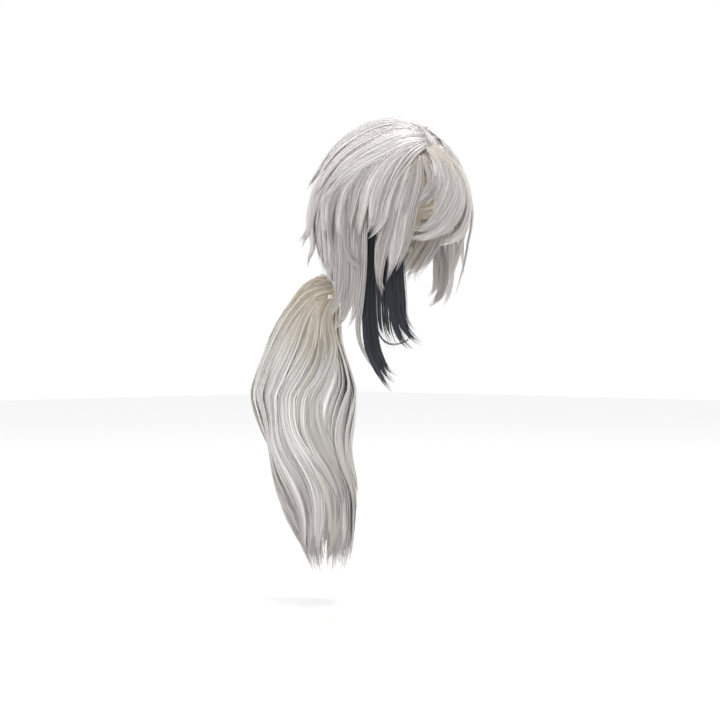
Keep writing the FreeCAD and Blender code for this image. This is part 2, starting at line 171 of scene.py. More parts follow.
def add_ramp(tree, factor, stops):
    """A colour ramp fed by a factor. stops are (place, colour)."""
    node = tree.nodes.new("ShaderNodeValToRGB")
    ramp = node.color_ramp
    while len(ramp.elements) < len(stops):
        ramp.elements.new(0.5)
    for element, (place, colour) in zip(ramp.elements, stops):
        element.position = place
        element.color = (*colour, 1)
    tree.links.new(factor, node.inputs["Fac"])
    return node.outputs["Color"]


def add_mix(tree, kind, factor, first, second):
    """A colour mix; factor, first and second are sockets or plain values."""
    node = add_node(tree, "ShaderNodeMix", {"data_type": "RGBA", "blend_type": kind})
    for name, value in (("Factor", factor), ("A", first), ("B", second)):
        # a mix node has a socket of each name for every data type
        socket = [s for s in node.inputs if s.name == name and s.enabled][0]
        if isinstance(value, bpy.types.NodeSocket):
            tree.links.new(value, socket)
        else:
            socket.default_value = value
    return [s for s in node.outputs if s.enabled][0]


def hair_material(name, along, shades, roughness, specular, glow=0.6):
    """Silky fibre: colour from root to tip, tone by fibre and by clump, and fine streaks. The clump
    tone also carries the painted shade and painted light given to some locks. shades are the
    darkest and lightest tone of a fibre, then of a clump. glow is the subsurface weight."""
    material, tree, shader = new_material(name)
    tint = add_node(tree, "ShaderNodeAttribute", {"attribute_name": "fibre_tint"})
    split = tree.nodes.new("ShaderNodeSeparateColor")
    tree.links.new(tint.outputs["Color"], split.inputs["Color"])
    base = add_ramp(tree, split.outputs["Green"], along)
    by_fibre = add_ramp(tree, split.outputs["Red"], [(0.0, shades[0]), (1.0, shades[1])])
    # The clump tone, read from blue, holds painted shade and painted light on some locks.
    by_clump_and_painted_light = add_ramp(tree, split.outputs["Blue"], [(0.0, shades[2]), (1.0, shades[3])])
    colour = add_mix(tree, "MULTIPLY", 1.0, base, by_fibre)
    colour = add_mix(tree, "MULTIPLY", 1.0, colour, by_clump_and_painted_light)
    place = add_node(tree, "ShaderNodeAttribute", {"attribute_name": "fibre"})
    streaks = add_node(tree, "ShaderNodeTexNoise", values={"Scale": 2.4, "Detail": 3.0, "Roughness": 0.6})
    tree.links.new(place.outputs["Vector"], streaks.inputs["Vector"])
    streak_colour = add_ramp(tree, streaks.outputs["Fac"], [(0.3, (0.94, 0.935, 0.93)), (0.7, (1, 1, 1))])
    colour = add_mix(tree, "MULTIPLY", 0.8, colour, streak_colour)
    tree.links.new(colour, shader.inputs["Base Color"])
    gloss = add_node(tree, "ShaderNodeMapRange", values={
        "From Min": 0.3, "From Max": 0.7, "To Min": roughness - 0.06, "To Max": roughness + 0.08})
    tree.links.new(streaks.outputs["Fac"], gloss.inputs["Value"])
    tree.links.new(gloss.outputs["Result"], shader.inputs["Roughness"])
    bump = add_node(tree, "ShaderNodeBump", values={"Strength": 0.12, "Distance": 0.0006})
    tree.links.new(streaks.outputs["Fac"], bump.inputs["Height"])
    tree.links.new(bump.outputs["Normal"], shader.inputs["Normal"])
    shader.inputs["Specular IOR Level"].default_value = specular
    shader.inputs["Subsurface Weight"].default_value = glow
    shader.inputs["Subsurface Radius"].default_value = (1.0, 0.95, 0.9)
    shader.inputs["Subsurface Scale"].default_value = 0.004
    return material


WHITE_ALONG = [(0.0, (0.80, 0.755, 0.72)), (0.3, (0.89, 0.855, 0.835)), (1.0, (0.88, 0.85, 0.835))]
FRONT_ALONG = [
    (0.0, (0.66, 0.55, 0.45)), (0.2, (0.76, 0.68, 0.61)), (0.4, (0.85, 0.81, 0.785)),
    (1.0, (0.84, 0.81, 0.795)),
]
# The darkest clump tone here also gives the painted shade of locks that hang under other hair.
WHITE_SHADES = [(0.93, 0.92, 0.91), (1.0, 1.0, 1.0), (0.56, 0.535, 0.52), (1.0, 0.99, 0.98)]
TAIL_ALONG = [
    (0.0, (0.66, 0.55, 0.425)), (0.18, (0.76, 0.68, 0.565)), (0.36, (0.81, 0.80, 0.775)),
    (0.6, (0.88, 0.865, 0.845)), (0.82, (0.72, 0.685, 0.665)), (1.0, (0.55, 0.515, 0.50)),
]
TAIL_SHADES = [(0.93, 0.92, 0.91), (1.0, 1.0, 1.0), (0.76, 0.735, 0.70), (1.0, 1.0, 1.0)]
BLACK_ALONG = [(0.0, (0.012, 0.013, 0.017)), (1.0, (0.016, 0.018, 0.024))]
BLACK_SHADES = [(0.7, 0.7, 0.7), (1.3, 1.3, 1.4), (0.8, 0.8, 0.8), (1.2, 1.2, 1.3)]

# ---- hair building ------------------------------------------------------------------------


def unit(vectors):
    """Vectors scaled to length one."""
    return vectors / np.maximum(np.linalg.norm(vectors, axis=-1, keepdims=True), 1e-9)


def semi_axes(layer):
    """Semi-axes of one layer of the head hair: 0 is where it starts and 1 is its outer face."""
    return HAIR_ROOTS + (HAIR_FACE - HAIR_ROOTS) * layer


def at(azimuth, elevation, layer=1.0):
    """A point in a layer of the head hair. Azimuth 0 is the face, 90 the wearer's right and 180
    the back."""
    turn = math.radians(azimuth)
    rise = math.radians(elevation)
    way = np.array([-math.sin(turn) * math.cos(rise), -math.cos(turn) * math.cos(rise), math.sin(rise)])
    return way * semi_axes(layer)


def hang(azimuth, height, reach=1.0):
    """A point beside the head on an upright oval wall. Reach 1 is in line with the hair's face."""
    turn = math.radians(azimuth)
    return np.array([-math.sin(turn) * HAIR_FACE[0] * reach, -math.cos(turn) * HAIR_FACE[1] * reach, height])


def guide(over=(), down=(), loose=()):
    """A hair path over the head, then down beside it, then through loose points."""
    return [at(*p) for p in over] + [hang(*p) for p in down] + [np.array(p, float) for p in loose]


def outward(points):
    """The way out from the head at some points; below the head's centre it stays level."""
    raised = points.copy()
    raised[:, 2] = np.maximum(raised[:, 2], 0)
    return unit(raised / HAIR_FACE ** 2)


def spline(points, count=GUIDE_POINTS):
    """A smooth path through some points, with its own points evenly spaced."""
    p = np.asarray(points, float)
    p = np.vstack([2 * p[0] - p[1], p, 2 * p[-1] - p[-2]])
    t = np.linspace(0, 1, SPAN_POINTS, endpoint=False)[:, None]
    spans = []
    for a, b, c, d in zip(p, p[1:], p[2:], p[3:]):
        curve = 2 * b + (c - a) * t + (2 * a - 5 * b + 4 * c - d) * t ** 2
        spans.append(0.5 * (curve + (3 * b - a - 3 * c + d) * t ** 3))
    dense = np.vstack(spans + [p[-2:-1]])
    run = np.concatenate([[0], np.cumsum(np.linalg.norm(np.diff(dense, axis=0), axis=1))])
    want = np.linspace(0, run[-1], count)
    return np.stack([np.interp(want, run, dense[:, k]) for k in range(3)], axis=1)


def parting(azimuth, rng):
    """Where a lock that ends at an azimuth leaves the parting: further up it towards the back."""
    turn = abs((azimuth + 180) % 360 - 180)
    return WHORL[0] + rng.uniform(-5, 5), np.interp(turn, [60, 180], [45, 72]) + rng.uniform(-4, 4)


def swoop(azimuth, elevation, start_layer, end_layer, lift=0.25, begin=0.0, origin=WHORL):
    """Points of a hair path over the head from the whorl to an end direction. lift raises its
    middle, and begin leaves out the first part of it."""
    first = unit(at(*origin) / HAIR_FACE)
    last = unit(at(azimuth, elevation) / HAIR_FACE)
    middle = unit(first + last + np.array([0, 0, lift * 2]))
    points = []
    for s in np.linspace(begin, 1, SWOOP_POINTS):
        way = unit((1 - s) ** 2 * first + 2 * s * (1 - s) * middle + s ** 2 * last)
        layer = start_layer + (end_layer - start_layer) * s
        points.append(way * semi_axes(layer))
    return points


# Kinds of fibre in a lock: (sides of the section, thickness, sideways spread).
FIBRE_KINDS = {"body": (12, 1.0, 0.0), "clump": (6, 1.0, 1.0), "hair": (3, 0.24, 1.1)}
RIDGE_HEIGHT = 0.28                          # unevenness round the section of a body or clump
GRAIN_STRETCH = 0.03                         # shortens places along a fibre, so its streaks run long


class Bundle:
    """Collects tapering closed fibres and makes one mesh of them."""

    def __init__(self, seed, last_shade=1.0):
        """last_shade is how far along the colours of a whole fibre the tips reach."""
        self.rng = np.random.default_rng(seed)
        self.points = []
        self.faces = []
        self.tints = []
        self.places = []
        self.count = 0
        self.last_shade = last_shade

    def add(self, paths, widths, depths, ups, tones, clump_tones_and_painted_light, sides):
        """Fibres with flat-oval sections. paths is (fibre, step, 3) and widths and depths are
        (fibre, step). ups points away from the head."""
        fibres, steps, _ = paths.shape
        tangent = unit(np.gradient(paths, axis=1))
        side = unit(np.cross(tangent, ups))
        up = np.cross(side, tangent)
        angles = 2 * math.pi * np.arange(sides) / sides
        across = np.cos(angles)[None, None, :, None] * widths[:, :, None, None]
        out = np.sin(angles)[None, None, :, None] * depths[:, :, None, None]
        ridge_height = RIDGE_HEIGHT if sides > FIBRE_KINDS["hair"][0] else 0.0
        ridge = 1 + ridge_height * self.rng.uniform(-1, 1, (fibres, 1, sides, 1))
        rings = paths[:, :, None, :] + ridge * (across * side[:, :, None, :] + out * up[:, :, None, :])
        base = self.count + (np.arange(fibres) * steps * sides)[:, None, None]
        step = (np.arange(steps - 1) * sides)[None, :, None]
        ring = np.arange(sides)[None, None, :]
        following = (ring + 1) % sides
        quads = np.stack([
            base + step + ring, base + step + following,
            base + step + sides + following, base + step + sides + ring,
        ], axis=-1).reshape(-1, 4)
        self.faces.append(quads)
        starts = base[:, 0] + np.arange(sides)[None, ::-1]
        ends = base[:, 0] + (steps - 1) * sides + np.arange(sides)[None, :]
        self.faces.append(starts)
        self.faces.append(ends)
        self.points.append(rings.reshape(-1, 3))
        along = np.broadcast_to(np.linspace(0, 1, steps)[None, :, None], (fibres, steps, sides))
        tint = np.stack([
            np.broadcast_to(tones[:, None, None], along.shape), along * self.last_shade,
            np.broadcast_to(clump_tones_and_painted_light[:, None, None], along.shape), np.ones(along.shape),
        ], axis=-1)
        self.tints.append(tint.reshape(-1, 4))
        run = np.linalg.norm(np.diff(paths, axis=1), axis=2).sum(axis=1)
        shift = self.rng.uniform(0, 300, (fibres, 1, 1))
        place = np.stack([
            (across[..., 0] + shift) * np.ones_like(along), (out[..., 0] + shift) * np.ones_like(along),
            along * run[:, None, None] * GRAIN_STRETCH,
        ], axis=-1)
        self.places.append(place.reshape(-1, 3))
        self.count += fibres * steps * sides

    def lock(self, points, width, depth=2.0, clumps=16, hairs=28, spread=(0.4, 1, 0.85, 0.15),
             ragged=0.16, thick=1.4, wave=0.7, tone=None, ups=None, steps=STEPS, body=1.05):
        """A lock of hair along one path: a flat body, clumps on it and loose hairs. width and depth
        are half sizes, and spread scales them at four places from root to tip. ragged is the part
        of the length that the shortest fibre lacks, thick the half width of a clump, wave the
        sideways sway, tone the lock's tone, and body the flat body's width as a share of the
        lock's. tone is random when not given; some locks are given a tone as painted shade or
        painted light, darker where they hang under other hair and lighter on the top of the head."""
        rng = self.rng
        guide_path = spline(points)
        guide_up = outward(guide_path) if ups is None else ups
        tangent = unit(np.gradient(guide_path, axis=0))
        guide_side = unit(np.cross(tangent, guide_up))
        guide_up = np.cross(guide_side, tangent)
        grid = np.linspace(0, 1, GUIDE_POINTS)
        lock_tone_and_painted_light = rng.beta(0.6, 0.6) if tone is None else tone
        counts = {"body": int(body > 0), "clump": clumps, "hair": hairs}
        for kind, (sides, scale, loosen) in FIBRE_KINDS.items():
            count = counts[kind]
            if not count:
                continue
            u = rng.uniform(-1, 1, count) * loosen
            v = rng.uniform(-0.3, 0.8, count) * np.sqrt(np.maximum(0.05, 1.05 - u * u)) * min(loosen, 1)
            if kind == "hair":
                v = np.abs(v) + 0.25
            end = 1 - ragged * rng.random(count) ** 1.4
            if kind == "body":
                end[:] = 1 - ragged * 0.5
            s = end[:, None] * np.linspace(0, 1, steps)[None, :]
            on_guide, side, up = (
                np.stack([np.interp(s, grid, values[:, k]) for k in range(3)], axis=2)
                for values in (guide_path, guide_side, guide_up)
            )
            opened = np.interp(s, [0, 0.3, 0.7, 1], spread)
            phase = rng.uniform(0, 2 * math.pi, (2, count, 1))
            pace = rng.uniform(0.4, 1.2, (2, count, 1))
            growth = wave * (0.2 + s) * min(loosen, 1)
            sway = growth * np.sin(2 * math.pi * pace[0] * s + phase[0])
            heave = 0.4 * growth * np.sin(2 * math.pi * pace[1] * s + phase[1])
            paths = (
                on_guide + side * (u[:, None] * opened * width + sway)[..., None]
                + up * (v[:, None] * opened * depth + heave)[..., None]
            )
            run = np.linspace(0, 1, steps)
            if kind == "body":
                widths = width * body * opened * np.interp(run, [0, 0.9, 1], [1, 0.9, 0.05])
                depths = np.minimum(depth * 0.45, widths * 0.5)
            else:
                taper = np.interp(run, [0, 0.06, 0.5, 0.85, 1], [0.5, 1, 0.95, 0.5, 0.04])
                radius = thick * scale * rng.uniform(0.6, 1.35, count)
                widths = radius[:, None] * taper[None, :]
                depths = widths * (0.36 if kind == "clump" else 0.9)
            tones = np.clip(rng.normal(0.55, 0.28, count), 0, 1)
            clump_tones_and_painted_light = np.clip(lock_tone_and_painted_light + rng.normal(0, 0.08, count), 0, 1)
            self.add(paths, widths, depths, up, tones, clump_tones_and_painted_light, sides)

    def locks(self, guides, **style):
        """A lock along each guide. Each row is (half width, over, down, loose)."""
        for half_width, *places in guides:
            self.lock(guide(*places), half_width, **style)

    def build(self, name, material):
        """The mesh of every fibre so far."""
        mesh = bpy.data.meshes.new(name)
        points = np.vstack(self.points) * MM
        corners = np.concatenate([f.ravel() for f in self.faces]).astype(np.int32)
        sizes = np.concatenate([np.full(len(f), f.shape[1], np.int32) for f in self.faces])
        mesh.vertices.add(len(points))
        mesh.vertices.foreach_set("co", points.astype(np.float32).ravel())
        mesh.loops.add(len(corners))
        mesh.loops.foreach_set("vertex_index", corners)
        mesh.polygons.add(len(sizes))
        starts = np.concatenate([[0], np.cumsum(sizes)[:-1]]).astype(np.int32)
        mesh.polygons.foreach_set("loop_start", starts)
        mesh.update(calc_edges=True)
        mesh.shade_smooth()
        tint = mesh.color_attributes.new("fibre_tint", "FLOAT_COLOR", "POINT")
        tint.data.foreach_set("color", np.vstack(self.tints).astype(np.float32).ravel())
        place = mesh.attributes.new("fibre", "FLOAT_VECTOR", "POINT")
        place.data.foreach_set("vector", np.vstack(self.places).astype(np.float32).ravel())
        mesh.materials.append(material)
        piece = bpy.data.objects.new(name, mesh)
        bpy.context.scene.collection.objects.link(piece)
        return piece


# ---- head hair ----------------------------------------------------------------------------
# Each guide is (half width, places over the head, places beside it, loose places).

FRONT_LOCK_GUIDES = [
    (14, [(30, 38, .4), (38, 26, .7), (46, 10, .85)], [(48, -30, .93), (52, -70, .93)]),
    (8, [(26, 40, .6), (30, 29, .9), (33, 17, 1.0), (38, 4, 1.02)], [(41, -16, 1), (43, -40, 1),
                                                                     (46, -61, 1), (48, -74, 1)]),
    (9, [(28, 40, .6), (33, 30, .92), (39, 17, 1.02), (44, 4, 1.04)],
     [(47, -16, 1.02), (49, -40, 1.02), (51, -64, 1.01), (55, -88, 1)]),
    (5.5, [(36, 38, .55), (42, 30, .85), (50, 16, .96), (55, 4, 1)],
     [(57, -19, 1), (59, -46, 1), (60, -63, 1), (59, -82, .99), (56, -96, .98)]),
    (8, [(32, 40, .6), (37, 31, .92), (44, 18, 1.02), (50, 4.5, 1.04)],
     [(53, -17, 1.03), (57, -41, 1.03), (59, -67, 1.02), (59, -88, 1.02), (57, -105, 1)]),
    (6, [(34, 40, .6), (38, 31, .95), (48, 19, 1.05), (54, 5, 1.08)],
     [(57, -12, 1.06), (61, -25, 1.07), (66, -33, 1.09)]),
]
RIGHT_OVER_GUIDES = [
    (8, [(15, 46, .8), (56, 36, .93), (80, 23, .97), (94, 11, 1), (98, 0, 1)], [(97, -30, 1),
                                                                                (94, -52, .99)]),
    (8, [(14, 46, .85), (52, 36, .95), (74, 24, .99), (85, 13, 1.02), (88, 2, 1.03)],
     [(88, -19, 1.03), (83, -34, 1.02)]),
    (8, [(14, 45, .9), (48, 36, .97), (67, 25, 1), (75, 14, 1.02), (78, 3, 1.02)],
     [(80, -15, 1.01), (79, -32, 1.01)]),
    (8, [(13, 45, .9), (44, 36, 1), (59, 26, 1.03), (67, 15, 1.04), (70, 4, 1.03)],
     [(72, -11, 1.02), (73, -28, 1.02)]),
    (8, [(12, 44, .9), (37, 35, 1), (52, 26, 1.04), (60, 14, 1.05), (63, 4, 1.05)],
     [(65, -15, 1.04), (68, -28, 1.03)]),
    (8, [(11, 43, .9), (31, 36, 1), (44, 26, 1.05), (51, 16, 1.07), (56, 5, 1.08)],
     [(60, -12, 1.06), (65, -30, 1.05)]),
]
SWOOP_GUIDES = [
    (9, [(6, 60, .9), (60, 62, 1), (95, 50, 1.02), (114, 38, 1.03), (125, 24, 1.03), (131, 12, 1.04)]),
    (9, [(9, 55, .9), (52, 53, 1), (85, 42, 1.03), (104, 30, 1.04), (116, 18, 1.04), (124, 8, 1.04)]),
    (9, [(11, 50, .92), (42, 47, 1.02), (65, 39, 1.05), (85, 30, 1.06), (100, 20, 1.05),
         (109, 12, 1.03)]),
    (8, [(13, 45, .95), (38, 41, 1.02), (56, 34, 1.05), (74, 27, 1.07), (88, 20, 1.07), (99, 13, 1.06),
         (108, 7, 1.04)]),
]
PARTING_GUIDES = [
    (12, [(3, 40, .6), (6, 52, .75), (20, 64, .8), (62, 74, .8), (120, 66, .8), (135, 50, .8)]),
    (12, [(-8, 42, .6), (-8, 54, .75), (-4, 68, .8), (160, 82, .8), (160, 62, .8), (160, 42, .8)]),
    (12, [(-18, 44, .6), (-22, 56, .75), (-30, 70, .8), (-150, 80, .8), (-170, 62, .8), (-170, 42, .8)]),
]
FLICK_GUIDES = [
    (10, [(16, 52, .6), (54, 70, .6), (110, 60, .65), (127, 46, .8), (133, 33, .95), (136, 23, 1.3)], [],
     [(-67, 88, 37)]),
    (7, [(30, 70, .6), (100, 66, .65), (124, 52, .8), (130, 38, .95), (133, 27, 1.2)], [],
     [(-66, 84, 46)]),
    (10, [(100, 34, .9), (120, 20, .98), (129, 6, 1.04), (132, -5, 1.3)], [], [(-70, 97, -26)]),
    (8, [(104, 26, .8), (124, 10, .95), (130, -4, 1.1)], [], [(-69, 84, -22), (-68, 92, -33)]),
    (9, [(112, 20, .7), (126, 2, .9), (132, -14, .95)], [], [(-66, 80, -46), (-60, 89, -60)]),
]
SIDE_LOCK_GUIDES = [
    (7, [(76, 14, .7)], [(76, -32, .98), (75, -69, .98), (76, -103, .98), (79, -125, .98),
                         (84, -137, .98)]),
    (8, [(80, 14, .7)], [(81, -32, .98), (80, -69, .99), (82, -101, .99), (87, -123, .99),
                         (97, -138, .99)]),
    (8, [(84, 14, .7)], [(84, -30, .98), (83, -62, .99), (84, -92, .99), (87, -113, .99),
                         (93, -129, .99)]),
    (9, [(88, 14, .7)],
     [(90, -24, .97), (88, -49, .99), (88, -74, .99), (90, -98, .99), (93, -111, .99), (98, -119, .99)]),
    (5, [(84, 10, .9)], [(84, -25, 1.01), (82, -45, 1.02), (78, -57, 1.04), (70, -65, 1.05)]),
]
# One thin strand that hangs far below the rest of the side lock.
SIDE_STRAND = [
    (3.5, [(72, 14, .6)],
     [(71, -33, .96), (71, -69, .97), (73, -105, .97), (75, -136, .97), (73, -160, .97), (65, -188, .97)]),
]
BLACK_REAR_GUIDES = [
    (6, [], [(67, -14, .87), (68, -60, .9), (69, -85, .92), (69, -127, .93), (67, -160, .93),
             (59, -190, .93),
             (50, -210, .93)]),
    (6, [], [(65, -14, .87), (66, -60, .9), (67, -88, .92), (66, -127, .93), (64, -160, .93),
             (56, -188, .93),
             (48, -201, .93)]),
    (5, [], [(63, -14, .87), (64, -60, .9), (65, -90, .92), (64, -127, .93), (61, -160, .93),
             (53, -186, .93),
             (46, -192, .93)]),
]
BLACK_FRONT_GUIDES = [
    (6, [], [(46, -25, .86), (45, -70, .9), (44, -100, .92), (43, -124, .93), (38, -140, .94),
             (33, -146, .95)]),
    (6, [], [(48, -25, .86), (48, -72, .9), (47, -106, .92), (45, -128, .93), (38, -148, .95),
             (28, -160, .97)]),
    (5, [], [(51, -25, .86), (51, -76, .9), (51, -106, .92), (49, -130, .93), (44, -152, .94),
             (36, -165, .95)]),
]
BLACK_SPARSE_GUIDES = [
    (6, [], [(55, -25, .86), (55, -88, .9), (55, -112, .92), (54, -136, .92), (51, -154, .93),
             (46, -167, .94)]),
    (6, [], [(60, -25, .86), (60, -88, .9), (60, -112, .92), (59, -136, .92), (56, -150, .93),
             (50, -163, .94)]),
]
BLACK_LOOP = [
    (62, -120, .93), (61, -140, .94), (58, -152, .95), (52, -159, .95), (45, -158, .95), (39, -153, .95),
    (39, -147, .95), (42, -145, .95),
]
FRINGE_GUIDES = [
    (8, [(25, 38, .5), (21, 31, .8), (20, 22, .95), (21, 14, 1), (28, 8, 1.02), (36, 2, 1.03)]),
    (8, [(18, 42, .5), (12, 31, .9), (14, 22, 1), (20, 13, 1.03), (29, 3, 1.04)]),
    (8, [(14, 44, .6), (13, 36, .9), (10, 27, 1), (9, 15, 1.05), (14, 5, 1.07), (21, -3, 1.07),
         (30, -7.5, 1.05)]),
    (8, [(-8, 43, .6), (-14, 27, .97), (-18, 13, 1.05), (-17, 2, 1.08), (-8, -8, 1.1), (4, -14, 1.1),
         (16, -17, 1.06)]),
    (8, [(-2, 43, .6), (-4, 28, .97), (-7, 14, 1.06), (-4, 5, 1.1), (7, -5, 1.12), (19, -11.5, 1.12),
         (31, -15, 1.08)]),
    (8, [(2, 43, .6), (-2, 30, .97), (-4, 17, 1.06), (2, 6, 1.1), (12, -4, 1.12), (24, -12, 1.1),
         (40, -14, 1.04)]),
    (8, [(6, 43, .6), (2, 31, .95), (2, 18, 1.06), (9, 7, 1.1), (18, -3, 1.1), (28, -8.5, 1.08),
         (38, -9, 1.05)]),
]
WISP_GUIDES = [
    (3, [(6, 42, .8), (6, 30, 1.05), (10, 19, 1.08), (18, 9, 1.12), (21, 1, 1.12), (26, -2, 1.1),
         (34, -4, 1.06)]),
    (3, [(22, 30, .9), (20, 22, 1.05), (22, 14, 1.1), (30, 10, 1.1)]),
    (3, [(14, 40, .9), (8, 24, 1.08), (14, 8, 1.12), (24, 2, 1.12), (36, 1, 1.08)]),
]
LEFT_FRONT_GUIDES = [
    (9, [(-14, 47, .6), (-30, 34, .8), (-46, 16, .9)], [], [(68, -66, -10), (64, -60, -45),
                                                            (54, -55, -85)]),
    (9, [(-10, 46, .6), (-22, 34, .85), (-36, 18, .92)], [],
     [(58, -78, -8), (55, -67, -37), (50, -60, -69), (40, -57, -98)]),
    (8, [(-4, 46, .6), (-14, 36, .85), (-26, 22, .95), (-34, 6, 1)], [],
     [(54, -90, -8), (52, -86, -30), (50, -81, -60), (45, -70, -99)]),
]


def mirrored(guides, most=1.0, length=1.0):
    """The same guides on the wearer's left, no further out than most. length scales how far the
    places below the head's centre hang."""
    def flip(turn, level, layer):
        stretch = length if level < 0 else 1
        return -turn, level * stretch, min(layer, most)

    return [
        (width, *([flip(*place) for place in places] for places in rows))
        for width, *rows in guides
    ]


def hung_to(guides, node):
    """The same guides with the places below the head's centre stretched, so that the lowest one
    meets the bottom of a CAD node."""
    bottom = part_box(node)[0][2] / MM
    full = bottom / min(height for _, _, down in guides for _, height, _ in down)

    def drop(turn, height, reach):
        stretch = full if height < 0 else 1
        return turn, height * stretch, reach

    return [(width, over, [drop(*place) for place in down]) for width, over, down in guides]


# Layers down the back of the head, each (start layer, end layer, end elevation, its spread, part of
# the path left out, azimuth step, flick of the tip).
BACK_LOW_LAYERS = [(0.25, 0.42, -33, 5, 0.30, 9.6, 4), (0.42, 0.60, -24, 7, 0.15, 9.0, 5)]
BACK_MIDDLE_LAYERS = [(0.55, 0.75, -8, 8, 0.05, 9.0, 7), (0.68, 0.86, 12, 8, 0.0, 9.5, 6)]
BACK_TOP_LAYERS = [(0.80, 0.95, 34, 8, 0.0, 11.0, 3)]
# Layers over a temple, each (start layer, end layer, lowest height, its spread, first azimuth, part
# of the path left out).
RIGHT_LAYERS = [
    (0.45, 0.70, -60, 10, 77, 0.12), (0.50, 0.80, -14, 6, 56, 0.05), (0.55, 0.88, -36, 10, 76, 0.05),
]
LEFT_LAYERS = [(0.45, 0.70, -60, 12, 60, 0.12), (0.55, 0.85, -36, 12, 58, 0.05)]
SIDE_STEP = 8.0                              # azimuth from one lock of a temple layer to the next


def make_under_hair(material):
    """The lowest layer: broad flat clumps close to the cap, from the whorl to the rim."""
    hair = Bundle(11)
    for azimuth in np.arange(-180, 180, 5.0):
        turn = abs(azimuth)
        if turn > 105:
            low = -34
        elif turn > 60:
            low = 6
        else:
            low = 32
        for layer in (0.05, 0.3):
            path = swoop(azimuth + hair.rng.uniform(-2, 2), low, layer, layer + 0.08, 0.15, begin=0.1)
            # A dark tone, 0.25: painted shade under the upper layers of hair.
            hair.lock(path, 7.5, 1.2, 6, 3, spread=(0.6, 1, 1, 0.8), ragged=0.06, thick=2.0, wave=0.5,
                      tone=0.25, steps=12)
    return hair.build("under_hair", material)


def make_back_layers(name, seed, layers, material, tones=(0.2, 0.9)):
    """Layered locks from the parting over the crown and down the back, with flicked tips. tones
    is the range of the locks' tones."""
    hair = Bundle(seed)
    rng = hair.rng
    for start, end, low, vary, begin, step, flick in layers:
        for azimuth in np.arange(104, 262, step):
            az = azimuth + rng.uniform(-0.45, 0.45) * step
            el = low + rng.uniform(-vary, vary)
            path = swoop(az, el, start, end, 0.22 + rng.uniform(-0.06, 0.06), begin, parting(az, rng))
            tip = path[-1]
            away = outward(tip[None, :])[0]
            path.append(tip + away * flick * rng.uniform(0.1, 0.9) + np.array([0, 0, -9.0]))
            hair.lock(path, 9 + rng.uniform(-2, 3), 1.6, tone=rng.uniform(*tones))
    return hair.build(name, material)


def add_side_layers(hair, side, layers):
    """Locks from the parting over the temple and down past the ear. side is 1 for the wearer's
    right and -1 for the left."""
    rng = hair.rng
    for start, end, low, vary, first, begin in layers:
        for azimuth in np.arange(first, 110, SIDE_STEP):
            az = side * (azimuth + rng.uniform(-0.4, 0.4) * SIDE_STEP)
            path = swoop(az, 8, start, end, 0.26 + rng.uniform(-0.05, 0.05), begin, parting(az, rng))
            beside = path[-1]
            drop = low + rng.uniform(-vary, vary) - beside[2]
            path.append(beside + np.array([-side * 1.0, rng.uniform(-2, 3), drop * 0.55]))
            path.append(beside + np.array([-side * rng.uniform(-2, 3), rng.uniform(-8, 9), drop]))
            hair.lock(path, 8 + rng.uniform(-1.5, 2.5), 1.8)


def make_right_hair(material):
    """The wearer's right side: the side lock and shorter layers over it."""
    hair = Bundle(31)
    # The side lock is given the darkest tone, 0.05: painted shade, as it hangs under the crown hair.
    hair.locks(hung_to(SIDE_LOCK_GUIDES, "side_lock_right") + SIDE_STRAND, depth=2.2,
               spread=(0.6, 1, 1, 0.12), ragged=0.14, tone=0.05)
    add_side_layers(hair, 1, RIGHT_LAYERS)
    hair.locks(RIGHT_OVER_GUIDES, hairs=34)
    return hair.build("right_side_hair", material)


def make_left_hair(material):
    """The wearer's left side: a long front lock and the hair over the temple and ear."""
    hair = Bundle(43)
    hair.locks(LEFT_FRONT_GUIDES, depth=2.2)
    hair.locks(mirrored(SIDE_LOCK_GUIDES[:4], most=0.97, length=0.78), depth=2.2, spread=(0.6, 1, 1, 0.12),
               ragged=0.14)
    add_side_layers(hair, -1, LEFT_LAYERS)
    hair.locks(mirrored(RIGHT_OVER_GUIDES))
    return hair.build("left_side_hair", material)


def make_swoops(material):
    """The long swept locks over the crown and the flicks at its back, on both sides."""
    hair = Bundle(29)
    # The flicks and the swept locks on the wearer's right are given light tones: painted light on the top of
    # the head.
    hair.locks(FLICK_GUIDES, hairs=34, clumps=24, depth=5.5, spread=(0.4, 0.8, 0.85, 0.14), ragged=0.12,
               tone=0.8)
    hair.locks(PARTING_GUIDES, hairs=36, clumps=20, spread=(0.7, 1, 0.9, 0.3))
    hair.locks(SWOOP_GUIDES, hairs=36, clumps=20, tone=0.95)
    hair.locks(mirrored(SWOOP_GUIDES), hairs=30)
    return hair.build("swept_hair", material)


def make_strays(material):
    """Single loose hairs that stand off the outline."""
    hair = Bundle(83)
    rng = hair.rng
    for _ in range(26):
        azimuth = rng.uniform(-170, 170)
        path = swoop(azimuth, rng.uniform(-30, 30), 0.9, rng.uniform(1.1, 1.5), 0.3, rng.uniform(0, 0.5),
                     parting(azimuth, rng))
        if abs(azimuth) < 58:
            path = path[:5]
        hair.lock(path, 5, 1.5, 0, 3, spread=(0.5, 1, 1.2, 1.4), thick=0.8, wave=3.0, body=0, steps=24)
    return hair.build("stray_hair", material)


def make_bun(material):
    """The tied stub of nape hair that the clip grips: combed in from the nape, round the tie and
    over the ball."""
    hair = Bundle(89)
    for turn in np.linspace(0, 2 * math.pi, 14, endpoint=False):
        ring = np.array([math.cos(turn), 0, math.sin(turn)])
        path = [at(180 + 24 * ring[0], -33 + 7 * ring[2], 0.5), BUN_CENTRE + [0, -13, 0] + 5 * ring,
                BUN_CENTRE + 7.5 * ring, BUN_CENTRE + [0, 8, 0] + 2 * ring]
        hair.lock(path, 3.2, 1.0, 7, 8, spread=(2.0, 1, 1, 0.5), ups=np.tile(ring, (GUIDE_POINTS, 1)))
    return hair.build("bun_hair", material)


